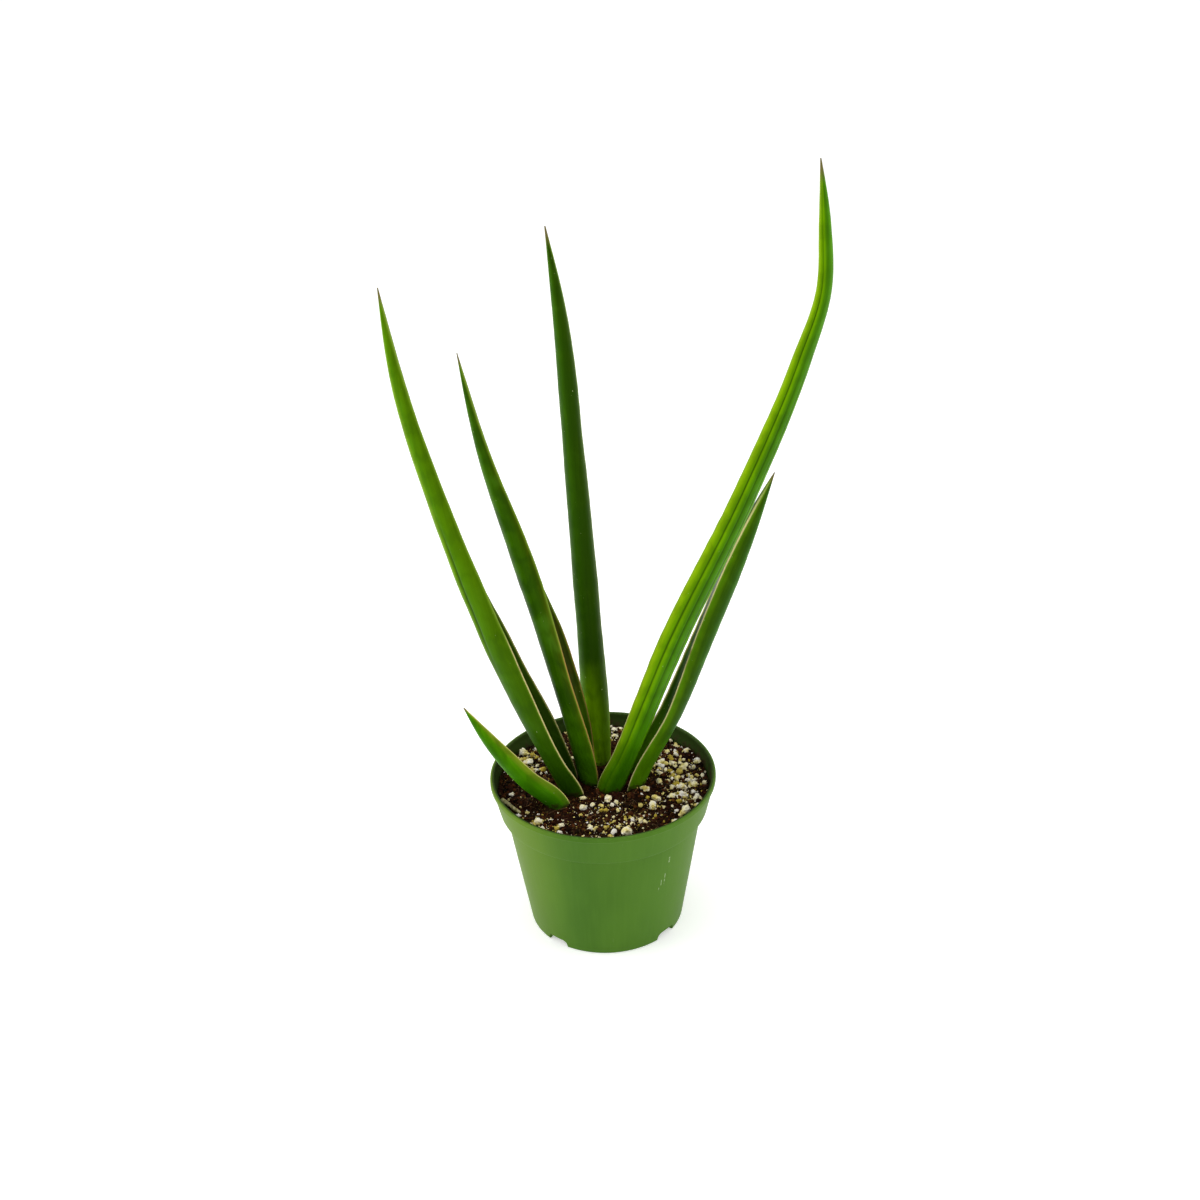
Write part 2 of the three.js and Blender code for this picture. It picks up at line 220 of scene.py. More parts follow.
def poledSkin(rings, lowest, highest):
    # closes turned rings with a fan of triangles to a pole point on the axis at each end
    stations, sides = rings.shape[:2]
    count = stations * sides
    last = count - sides
    here = np.arange(sides)
    ahead = (here + 1) % sides
    bottomFan = np.stack([np.full(sides, count), ahead, here], -1)
    topFan = np.stack([np.full(sides, count + 1), last + here, last + ahead], -1)
    points = np.r_[rings.reshape(-1, 3), [[0, 0, lowest], [0, 0, highest]]]
    return points, [ringFaces(stations, sides), bottomFan, topFan]


def ball(rings, sides):
    # unit sphere: radius = sin(tilt), height = -cos(tilt), with a pole point at each end
    tilt = np.pi * np.arange(1, rings + 1) / (rings + 1)
    return poledSkin(turnedRings(np.sin(tilt), -np.cos(tilt), sides), -1, 1)


def curveThrough(rows, count):
    # cubic stretches through rows of x, y, z and more. The slope at a row is its two
    # neighbouring slopes, each weighted by the length of the other stretch.
    rows = np.asarray(rows, float)
    spans = np.linalg.norm(np.diff(rows[:, :3], axis=0), axis=1)
    knots = np.r_[0, np.cumsum(spans)]
    slopes = np.diff(rows, axis=0) / spans[:, None]
    tangents = np.empty_like(rows)
    before, after = spans[:-1, None], spans[1:, None]
    tangents[1:-1] = (slopes[:-1] * after + slopes[1:] * before) / (before + after)
    tangents[0] = 1.5 * slopes[0] - 0.5 * tangents[1]
    tangents[-1] = 1.5 * slopes[-1] - 0.5 * tangents[-2]
    along = np.linspace(0, knots[-1], count)
    i = np.clip(np.searchsorted(knots, along, side="right") - 1, 0, len(spans) - 1)
    span = spans[i][:, None]
    u = ((along - knots[i]) / spans[i])[:, None]
    value = ((2 * u**3 - 3 * u**2 + 1) * rows[i] + (u**3 - 2 * u**2 + u) * span * tangents[i]
             + (3 * u**2 - 2 * u**3) * rows[i + 1] + (u**3 - u**2) * span * tangents[i + 1])
    run = ((6 * u**2 - 6 * u) * (rows[i] - rows[i + 1]) / span
           + (3 * u**2 - 4 * u + 1) * tangents[i] + (3 * u**2 - 2 * u) * tangents[i + 1])[:, :3]
    return value, run / np.linalg.norm(run, axis=1)[:, None], along


def waves(points, seed, wavelength, count=18):
    # smooth field, about -1 to 1: a sum of sine waves with seeded directions and phases
    rng = np.random.default_rng(seed)
    aim = rng.normal(size=(count, points.shape[-1]))
    aim /= np.linalg.norm(aim, axis=1)[:, None]
    pace = 2 * np.pi / (wavelength * rng.uniform(0.7, 1.4, count))
    phase = rng.uniform(0, 2 * np.pi, count)
    return np.sin(points @ (aim * pace[:, None]).T + phase).sum(-1) / math.sqrt(count / 2) / 1.6


def frameAlong(runs, facing):
    # outwards is the facing direction made square to the curve, sideways is square to both
    outwards = facing - (runs * facing).sum(1)[:, None] * runs
    outwards /= np.linalg.norm(outwards, axis=1)[:, None]
    return outwards, np.cross(runs, outwards)


def tube(rows, radii, sides, facing=(0, 0, 1), widening=1.0):
    # an oval carried along a curve: radius x (-cos sideways, widened, + sin outwards) at each station
    value, runs = curveThrough(rows, len(radii))[:2]
    outwards, sideways = frameAlong(runs, np.asarray(facing, float))
    angle = 2 * np.pi * (np.arange(sides) + 0.5) / sides
    spread = np.broadcast_to(widening, len(radii))[:, None, None]
    across = -np.cos(angle)[None, :, None] * sideways[:, None] * spread
    upright = np.sin(angle)[None, :, None] * outwards[:, None]
    return value[:, None, :3] + np.asarray(radii)[:, None, None] * (across + upright)


view = {
    # degrees down from level and of roll; distance to the target and the far limit
    "lens": 72, "sensor": 36, "height": 30.27, "roll": -1.84, "distance": 1099.3, "target": (1.28, 0, 175.6),
    "farLimit": 50000,
}


def makeCamera():
    # looks along +Y and down, from in front of the plant
    down = math.radians(view["height"])
    roll = math.radians(view["roll"])
    ahead = Vector((0, math.cos(down), -math.sin(down)))
    right = Vector((1, 0, 0))
    up = right.cross(ahead)
    side = right * math.cos(roll) + up * math.sin(roll)
    top = up * math.cos(roll) - right * math.sin(roll)
    camera = bpy.data.objects.new("camera", bpy.data.cameras.new("camera"))
    camera.data.lens = view["lens"]
    camera.data.sensor_width = view["sensor"]
    camera.data.clip_end = view["farLimit"] * mm
    place = Vector(view["target"]) * mm - ahead * view["distance"] * mm
    turn = Matrix((side, top, -ahead)).transposed().to_4x4()
    camera.matrix_world = Matrix.Translation(place) @ turn
    bpy.context.scene.collection.objects.link(camera)
    bpy.context.scene.camera = camera


lamps = {
    # place in metres, width and height of the panel, power in watts
    "leftPanel": {"place": (-1.5, -0.15, 0.9), "size": (1.2, 1.4), "power": 12.5},
    "rightPanel": {"place": (1.6, -0.1, 0.8), "size": (1.0, 1.4), "power": 8},
    "topPanel": {"place": (0.0, 0.1, 2.2), "size": (2.4, 2.4), "power": 29},
}
lampTarget = (0, 0, 0.15)
skyStrength = 0.22


def makeLamps():
    for name, lamp in lamps.items():
        light = bpy.data.lights.new(name, "AREA")
        light.shape = "RECTANGLE"
        light.size, light.size_y = lamp["size"]
        light.energy = lamp["power"]
        holder = bpy.data.objects.new(name, light)
        holder.location = lamp["place"]
        aim = Vector(lampTarget) - Vector(lamp["place"])
        holder.rotation_euler = aim.to_track_quat("-Z", "Y").to_euler()
        bpy.context.scene.collection.objects.link(holder)
    world = bpy.data.worlds.new("studio")
    world.use_nodes = True
    background = world.node_tree.nodes["Background"]
    background.inputs["Color"].default_value = (1.0, 1.0, 1.0, 1.0)
    background.inputs["Strength"].default_value = skyStrength
    bpy.context.scene.world = world
    bpy.context.scene.view_settings.view_transform = "Standard"


floorShape = {
    "innerRings": [10, 600, 2000], "flatRadius": 5000, "bendRadius": 1000, "bendSteps": 10,
    "wallTop": 3000, "sides": 96,
    # grey levels near the plant and far from it, and the metres between which they change
    "paint": (0.93, 0.96), "farPaint": 0.25, "nearGlow": 0.42, "farGlow": 0.85, "change": (0.35, 1.6),
}


def makeFloor():
    # a round floor that bends up into a low wall: radius and height follow a quarter circle
    bend = np.linspace(0, np.pi / 2, floorShape["bendSteps"])
    inner, sides = floorShape["innerRings"], floorShape["sides"]
    flat, curve = floorShape["flatRadius"], floorShape["bendRadius"]
    radius = np.concatenate([inner, flat + curve * np.sin(bend), [flat + curve]])
    height = np.concatenate([np.zeros(len(inner)), curve * (1 - np.cos(bend)), [floorShape["wallTop"]]])
    rings = turnedRings(radius, height, sides)
    faces = [ringFaces(len(radius), sides)[:, ::-1], np.arange(sides)[None]]
    floor = meshPiece("floor", rings.reshape(-1, 3), faces)
    graph = Graph("floorPaint")
    mottle = graph.noise(graph.place(), 3.0, 3.0)
    dull, bright = ((grey, grey, grey - 0.005, 1) for grey in floorShape["paint"])
    colour = graph.mix(mottle, dull, bright)
    # the floor glows a little, more so far from the plant, so that it stays white under dim lamps
    away = graph.length(graph.place())
    distant = graph.step(away, *floorShape["change"])
    near, far, paint = ((floorShape[key],) * 3 + (1,) for key in ("nearGlow", "farGlow", "farPaint"))
    glow = graph.mix(distant, near, far)
    colour = graph.mix(distant, colour, paint)
    floor.data.materials.append(graph.finish(colour=colour, roughness=0.9, specular=0.1, glow=glow,
                                             glowStrength=1.0))


makeCamera()
makeLamps()
makeFloor()
print("camera, lights and floor made")


pot = {
    "height": 80, "lipRadius": 54, "lipDepth": 2.4, "collarTop": 53.2, "collarBottom": 49.9,
    "collarDepth": 17, "bodyTop": 47.3, "bodyBottom": 37, "wall": 1.2, "footWidth": 1.9,
    "channelHeight": 2.6, "padRadius": 24, "padSlope": 2,
    "lipWidth": 1.9, "stepDrop": 0.9, "innerStep": (1.1, 0.8), "cornerFill": 0.5,
    "segments": 256, "spacing": 2.2,  # longest quad along the profile
    "notchCount": 4, "notchTurn": 49, "notchWidth": 11.5, "notchHeight": 4, "notchCorner": 2.6,
    "notchInner": 30, "notchOuter": 44, "sharpAngle": 38,
}


def roundedProfile(corners, spacing):
    # corners are radius, height and rounding; each rounding is a quadratic curve that starts
    # and ends that far from the corner, and straight stretches get points every spacing
    corners = np.asarray(corners, float)
    points = [corners[0, :2]]
    t = np.linspace(0, 1, 6)[:, None]
    for before, corner, after in zip(corners[:-2], corners[1:-1], corners[2:]):
        back = (before - corner)[:2] / np.linalg.norm((before - corner)[:2])
        on = (after - corner)[:2] / np.linalg.norm((after - corner)[:2])
        enter = corner[:2] + back * corner[2]
        leave = corner[:2] + on * corner[2]
        points.extend((1 - t)**2 * enter + 2 * t * (1 - t) * corner[:2] + t**2 * leave)
    points.append(corners[-1, :2])
    line = np.array(points)
    spans = np.linalg.norm(np.diff(line, axis=0), axis=1)
    pieces = np.maximum(np.ceil(spans / spacing).astype(int), 1)
    dense = [line[i] + (line[i + 1] - line[i]) * np.linspace(0, 1, n, endpoint=False)[:, None]
             for i, n in enumerate(pieces)]
    return np.concatenate(dense + [line[-1:]])


def potProfile():
    # half section as corners of radius, height and rounding: up the outside, then down the inside
    step = pot["height"] - pot["collarDepth"]
    below, above = pot["innerStep"]
    foot = pot["bodyBottom"] - pot["footWidth"]
    under = pot["height"] - pot["lipDepth"]
    wall, channel, pad, top = pot["wall"], pot["channelHeight"], pot["padRadius"], pot["height"]
    lip, collar, neck = pot["lipRadius"], pot["collarTop"], pot["collarBottom"]
    outer = [
        (0, 0, 0), (pad, 0, 0.8), (pad + pot["padSlope"], channel, 0.8), (foot - 1, channel, 0.5),
        (foot, 0, 0.25), (pot["bodyBottom"], 0, 1.0), (pot["bodyTop"], step - pot["stepDrop"], 0.5),
        (neck, step, 0.6), (collar, under - 0.5, 0.35), (lip, under, 0.35), (lip, top, 0.8),
    ]
    inner = [
        (lip - pot["lipWidth"], top, 0.6), (collar - wall, under - 0.6, 0.4),
        (neck - wall, step + above, 0.6), (pot["bodyTop"] - wall, step - below, 0.6),
        (pot["bodyBottom"] + pot["cornerFill"] - wall, channel + wall, 0.8),
        (pad + pot["padSlope"] - 0.6, channel + wall, 0.6), (pad - 0.6, wall, 0.8), (0, wall, 0),
    ]
    return roundedProfile(outer + inner, pot["spacing"])


def notchCutter(turn):
    # an arch outline carried outwards from under the floor through the foot
    half, corner, height = pot["notchWidth"] / 2, pot["notchCorner"], pot["notchHeight"]
    sweep = np.linspace(0, np.pi / 2, 8)
    right = np.stack([half - corner + corner * np.cos(sweep), height - corner + corner * np.sin(sweep)], -1)
    outline = np.r_[[[half, -1]], right, right[::-1] * [-1, 1], [[-half, -1]]]
    angle = math.radians(turn)
    away = np.array([math.cos(angle), math.sin(angle), 0])
    side = np.array([-away[1], away[0], 0])
    flat = outline[:, :1] * side + outline[:, 1:] * np.array([0, 0, 1])
    rings = np.stack([flat + away * pot["notchInner"], flat + away * pot["notchOuter"]])
    points, faces = closedSkin(rings)
    return meshPiece("notchCutter", points, faces, smooth=False)


# pale scuffs: degrees from +X, height, half length and half width
scuffs = [(-51, 42.0, 4.5, 0.35), (-53.5, 40.0, 2.2, 0.3), (-49, 53.0, 2.2, 0.5), (-64, 61.5, 0.8, 0.8),
          (-55, 36.0, 1.5, 0.25)]

potLook = {
    # metres: the inner face slants outwards from slantFrom, and is told from the outer one by its
    # radius there; the other pairs are where each mark begins and is full
    "slantFrom": 0.063, "slant": 0.2357, "innerFace": (0.0493, 0.0489), "innerFrom": (0.0636, 0.0642),
    "grime": (0.0795, 0.0735), "lipWear": (0.0788, 0.0799), "paintedLightLeft": (-0.012, -0.05),
    "paintedLightRight": (0.02, 0.05), "scuffRadius": 47.0,
}


def potPlastic():
    # moulded green plastic with soft clouds, painted side light, an inside darkened with painted shade and
    # dusty, scratches and a worn lip
    graph = Graph("greenPotPlastic")
    place = graph.place()
    axes = graph.node("ShaderNodeSeparateXYZ", {}, {0: place})
    x, y, z = (Wire(graph, axes.socket.node.outputs[i]) for i in range(3))
    radius = graph.length(graph.vector(x, y, 0.0))
    turn = graph.node("ShaderNodeMath", {"operation": "ARCTAN2"}, {0: y, 1: x})
    # large soft variation of the moulding, drawn out upwards
    cloud = graph.noise(graph.vector(x * 14, y * 14, z * 7), 1.6, 3.0)
    flow = graph.noise(graph.vector(turn * 9.0, z * 12.0, 0.0), 2.5, 4.0, 0.6)
    fine = graph.noise(place, 900.0, 3.0, 0.6)
    colour = graph.mix(graph.step(cloud, 0.3, 0.7), "#3c6410", "#487018")
    # painted light: the colour turns lighter and yellower on the left side and, less, on the right, where the
    # side lamps light the pot
    paintedSideLight = graph.step(x, *potLook["paintedLightLeft"]) + graph.step(x, *potLook["paintedLightRight"]) * 0.3
    colour = graph.mix(paintedSideLight * 0.5, colour, "#748c1c")
    colour = graph.mix(graph.step(flow, 0.4, 0.8) * 0.12, colour, "#5c8a2c")
    # the inside is duller, its face darkened with painted shade, and dusty with peat
    upright = radius - (z - potLook["slantFrom"]) * potLook["slant"]
    inside = graph.step(upright, *potLook["innerFace"]) * graph.step(z, *potLook["innerFrom"])
    grime = graph.noise(place, 160.0, 4.0, 0.65)
    # painted shade: the inner face darkened to a deep green
    colour = graph.mix(inside * 0.9, colour, "#27380f")
    dusty = inside * graph.step(grime, 0.48, 0.66) * graph.step(z, *potLook["grime"])
    colour = graph.mix(dusty, colour, "#3c2a1c")
    # thin scratches and pale scuffs on the outside
    scratchField = graph.noise(graph.vector(turn * 130.0, z * 45.0, 0.0), 1.0, 2.0, 0.7)
    scratches = graph.step(scratchField, 0.725, 0.775) * (1 - inside)
    scuffed = scratches * 0.35
    for angle, height, length, width in scuffs:
        near = graph.size((turn - math.radians(angle)) * potLook["scuffRadius"])
        level = graph.size((z - height * mm) * (1 / mm))
        mark = graph.step(near, width, width * 0.3) * graph.step(level, length, length * 0.5)
        scuffed = scuffed + mark * graph.step(fine, 0.38, 0.55)
    scuffed = graph.node("ShaderNodeClamp", {}, {0: scuffed})
    colour = graph.mix(scuffed * 0.7, colour, "#b9c9a0")
    # wear paler along the lip
    lip = graph.step(z, *potLook["lipWear"]) * graph.step(fine, 0.3, 0.7)
    colour = graph.mix(lip * 0.12, colour, "#7d9c58")
    roughness = 0.4 + 0.16 * cloud + 0.25 * scuffed + 0.25 * inside
    height = flow * 0.25 + fine * 0.25 + grime * inside * 2.0
    return graph.finish(colour=colour, roughness=roughness, normal=graph.bump(height, 0.0001),
                        specular=0.1)


def makePot():
    # the half section turned about Z, with arches cut through the foot
    profile = potProfile()
    rings = turnedRings(profile[1:-1, 0], profile[1:-1, 1], pot["segments"])
    points, faces = poledSkin(rings, profile[0, 1], profile[-1, 1])
    piece = meshPiece("nurseryPot", points, faces)
    between = 360 / pot["notchCount"]
    cutters = [notchCutter(pot["notchTurn"] + between * i) for i in range(pot["notchCount"])]
    for cutter in cutters:
        cut = piece.modifiers.new("notch", "BOOLEAN")
        cut.operation = "DIFFERENCE"
        cut.solver = "EXACT"
        cut.object = cutter
    bpy.context.view_layer.update()
    cutMesh = bpy.data.meshes.new_from_object(piece.evaluated_get(bpy.context.evaluated_depsgraph_get()))
    piece.modifiers.clear()
    piece.data = cutMesh
    for cutter in cutters:
        bpy.data.objects.remove(cutter)
    cutMesh.polygons.foreach_set("use_smooth", np.full(len(cutMesh.polygons), True))
    cutMesh.set_sharp_from_angle(angle=math.radians(pot["sharpAngle"]))
    finishPiece(piece, potPlastic(), "pot_plastic", "nursery_pot")


makePot()
print("pot made")


leafShape = {
    "stations": 170, "sidePoints": 40, "marginThickness": 0.55, "leastChannel": 0.4,
    "leastWidth": 0.5, "ripples": [(0.015, 45), (0.006, 11)],  # share of the width, wavelength
    "grooveEnds": 9,  # how sharply a groove begins and ends
    "soilLevel": 75,  # height where the leaves come out of the soil
}

# spine rows are x, y, z, width and the direction of the rounded back in degrees from +X;
# bulge is depth over width; channel is hollow depth over depth, at the foot and at the tip;
# grooves on the back are (place across from -1 to 1, depth, half width as a share of the back,
# and the shares of the length where each begins and ends);
# stripes are colours across the back from -1 to 1; inner is the channel's colour, dark with painted shade of
# the hollow; low is the colour near the soil, partly painted light, its height and how much of it is left out
# on the right half; bands is the strength of the cross bands; margin is the dry edge's colour and marginTop
# the height where it begins
leaves = {
    "leafFarLeft": {
        "node": "leaf_far_left", "slot": "leaf_yellow_green", "bulge": 0.66, "channel": (0.75, -0.3),
        "spine": [(-13.2, -4.8, 57, 10.5, 194), (-15.6, -5, 75, 15.4, 190),
                  (-22.9, -5.2, 94, 16.8, 178), (-40, -5.5, 138, 18.6, 184), (-69, -6, 228.5, 12.4, 200),
                  (-84, -6, 294.5, 7.5, 201), (-88.5, -6, 335.2, 0.6, 201)],
        "grooves": [(0.5, 0.5, 0.07, 0.3, 0.64)],
        "stripes": [(-1, "#2c5200"), (-0.3, "#6c9c08"), (0.1, "#7ca814"), (0.3, "#648c00"),
                    (0.55, "#4c7e00"), (0.73, "#4c7a00"), (0.88, "#4a7400"), (1, "#486c00")],
        "inner": "#3c5006", "low": ("#184000", 150, 0), "bands": 0.2, "margin": "#d8c88a", "marginTop": 85,
    },
    "leafLeft": {
        "node": "leaf_left", "slot": "leaf_dark_green", "bulge": 0.54, "channel": (0.7, -0.3),
        "spine": [(-6.2, 2.8, 57, 10, 190), (-7.2, 3.2, 75, 16, 186), (-19.8, 3, 142.5, 19.8, 177),
                  (-34.9, 5, 198.9, 16.4, 196), (-49.9, 6, 254.7, 8.5, 197), (-57.5, 6, 298.6, 0.6, 197)],
        "stripes": [(-1, "#2c5c02"), (-0.1, "#4c8804"), (0.25, "#4c7c04"), (0.5, "#407200"),
                    (0.7, "#346000"), (0.88, "#325a00"), (0.96, "#304e00"), (1, "#3c4c02")],
        "inner": "#3c3c08", "low": ("#447c00", 60, 0), "bands": 0.45, "margin": "#b08a48", "marginTop": 80,
    },
    "leafCentre": {
        "node": "leaf_centre", "slot": "leaf_dark_green", "bulge": 0.49, "channel": (0.5, -0.5),
        "spine": [(-1, 15.6, 57, 7.5, 262), (-1.7, 15.6, 75, 10.8, 262), (-4.9, 16, 158.9, 11.8, 263),
                  (-8.6, 14.5, 242, 9.7, 263), (-12.5, 13, 312.3, 6.4, 263), (-17.1, 13, 353, 0.6, 263)],
        "stripes": [(-1, "#507818"), (-0.75, "#366010"), (-0.4, "#305804"), (-0.1, "#264a00"),
                    (0.2, "#224200"), (0.6, "#244200"), (0.85, "#2c4808"), (1, "#4c6820")],
        # low here is painted light: a bright lime on the left half of the foot lifts the shade of the other
        # leaves
        "inner": "#243c04", "low": ("#a4e400", 66, 0.75), "bands": 0.25,
        "margin": "#8f8c20", "marginTop": 25,
    },
    "leafRightTall": {
        "node": "leaf_right_tall", "slot": "leaf_yellow_green", "bulge": 0.38, "channel": (0.5, -0.8),
        "spine": [(1.8, -7.4, 57, 9.4, 291), (4, -7.7, 75, 13.6, 291), (10.8, -8.1, 92, 13.4, 296),
                  (35.5, -8.6, 157.4, 15.4, 302), (67.5, -9, 230.6, 13.5, 303), (91.7, -9, 295.5, 10.5, 303),
                  (100.9, -9, 329.7, 8.1, 303), (100.5, -9, 358, 6.2, 303), (97.7, -9, 387.4, 0.6, 303)],
        "grooves": [(-0.68, 0.5, 0.03, 0.05, 0.9), (-0.18, 0.3, 0.04, 0.1, 0.75),
                    (0.36, 0.3, 0.04, 0.1, 0.8)],
        "stripes": [(-1, "#8cb408"), (-0.84, "#649400"), (-0.72, "#548400"), (-0.6, "#6c9e00"),
                    (-0.45, "#568c00"), (-0.34, "#447800"), (-0.1, "#3c7200"), (0.2, "#448000"),
                    (0.45, "#508c00"), (0.7, "#548c00"), (1, "#5c8600")],
        "inner": "#33580a", "low": ("#285c00", 52, 0), "bands": 0.2, "margin": "#c8c480", "marginTop": 65,
    },
    "leafRightShort": {
        "node": "leaf_right_short", "slot": "leaf_dark_green", "bulge": 0.62, "channel": (0.65, -0.3),
        "spine": [(12.2, -2.2, 57, 8.8, 354), (15.8, -1.8, 75, 13.4, 358), (34.5, 1.8, 113.4, 14.4, 364),
                  (50.6, 5, 154.8, 15, 354), (66.3, 6, 195.9, 12.6, 350), (81.3, 6, 235.3, 0.6, 350)],
        "stripes": [(-1, "#4c7a04"), (-0.95, "#446a00"), (-0.9, "#305200"), (-0.7, "#285000"),
                    (-0.45, "#306400"), (-0.15, "#468000"), (0.5, "#5c9408"), (1, "#4c7c04")],
        "inner": "#1c3c02", "low": ("#4c7c00", 42, 0), "bands": 0.25, "margin": "#e0d498", "marginTop": 150,
    },
    "pupLeaf": {
        "node": "pup_leaf", "slot": "leaf_mid_green", "bulge": 0.55, "channel": (0.5, 0),
        "spine": [(-18.6, -17.6, 57, 8, 236), (-22.9, -18, 75, 11.6, 236), (-35.9, -18.5, 88.7, 11.3, 236),
                  (-50.7, -19, 109.4, 8.7, 236), (-63, -20, 132.2, 0.6, 236)],
        "stripes": [(-1, "#608c1c"), (-0.5, "#4c8804"), (0.0, "#367000"), (0.35, "#387200"),
                    (0.6, "#427e00"), (0.8, "#4c8600"), (1, "#7c8c1c")],
        "inner": "#2c5408", "low": ("#2c6800", 24, 0), "bands": 0.3, "margin": "#e0d480", "marginTop": 70,
    },
}


def leafRings(leaf, seed):
    # section: a half ellipse of half width a and depth d for the back, u = -a cos, v = d sin, and
    # a shallower one for the channel; both start from the line between the margins. A groove
    # presses the back in by a bell curve across it.
    value, runs, along = curveThrough(leaf["spine"], leafShape["stations"])
    share = along / along[-1]
    angle = np.radians(value[:, 4])
    outwards, sideways = frameAlong(runs, np.stack([np.cos(angle), np.sin(angle), 0 * angle], -1))
    ripple = 1
    for index, (height, wavelength) in enumerate(leafShape["ripples"]):
        ripple = ripple + height * waves(along[:, None], seed + index, wavelength)
    half = np.maximum(value[:, 3] * ripple, leafShape["leastWidth"])[:, None] / 2
    depth = 2 * half * leaf["bulge"]
    foot, tip = leaf["channel"]
    hollow = depth * (foot + (tip - foot) * share[:, None])
    inner = np.maximum(half - leafShape["marginThickness"], half * leafShape["leastChannel"])
    sweep = np.pi * np.linspace(0, 1, leafShape["sidePoints"])[None]
    across = -np.cos(sweep) * np.ones_like(half)
    press = 1.0 + 0 * across
    crease = 0 * across
    rise = leafShape["grooveEnds"]
    for place, deep, wide, first, last in leaf.get("grooves", []):
        begin = np.clip((share[:, None] - first) * rise, 0, 1)
        fade = begin * np.clip((last - share[:, None]) * rise, 0, 1)
        fold = fade * np.exp(-((across - place) / wide)**2)
        press = press - deep / half * fold
        crease = crease + fold
    back = np.stack([half * across * press, depth * np.sin(sweep) * press], -1)
    channel = np.stack([inner * np.cos(sweep), hollow * np.sin(sweep)], -1)
    outline = np.concatenate([back, channel], 1)
    outline[..., 1] -= depth / 2
    rings = value[:, None, :3] + outline[..., :1] * sideways[:, None] + outline[..., 1:] * outwards[:, None]
    # numbers for the material: millimetres from the nearest margin, round the section and along
    walk = np.linalg.norm(np.diff(outline, axis=1), axis=2)
    walk = np.concatenate([np.zeros((len(walk), 1)), np.cumsum(walk, 1)], 1)
    n = leafShape["sidePoints"]
    edgeBack = np.minimum(walk[:, :n], walk[:, n - 1:n] - walk[:, :n])
    inside = walk[:, n:] - walk[:, n:n + 1]
    edgeInside = np.minimum(inside, inside[:, -1:] - inside)
    height = rings[..., 2] - leafShape["soilLevel"]
    numbers = {
        "across": np.concatenate([across, -across], 1),
        "inside": np.concatenate([0 * across, 1 + 0 * across], 1),
        "crease": np.concatenate([crease, 0 * across], 1),
        "edge": np.concatenate([edgeBack, edgeInside], 1),
        "round": walk,
        "along": np.repeat(along[:, None], 2 * n, 1),
        "share": np.repeat(share[:, None], 2 * n, 1),
        "height": height,
    }
    return rings, numbers


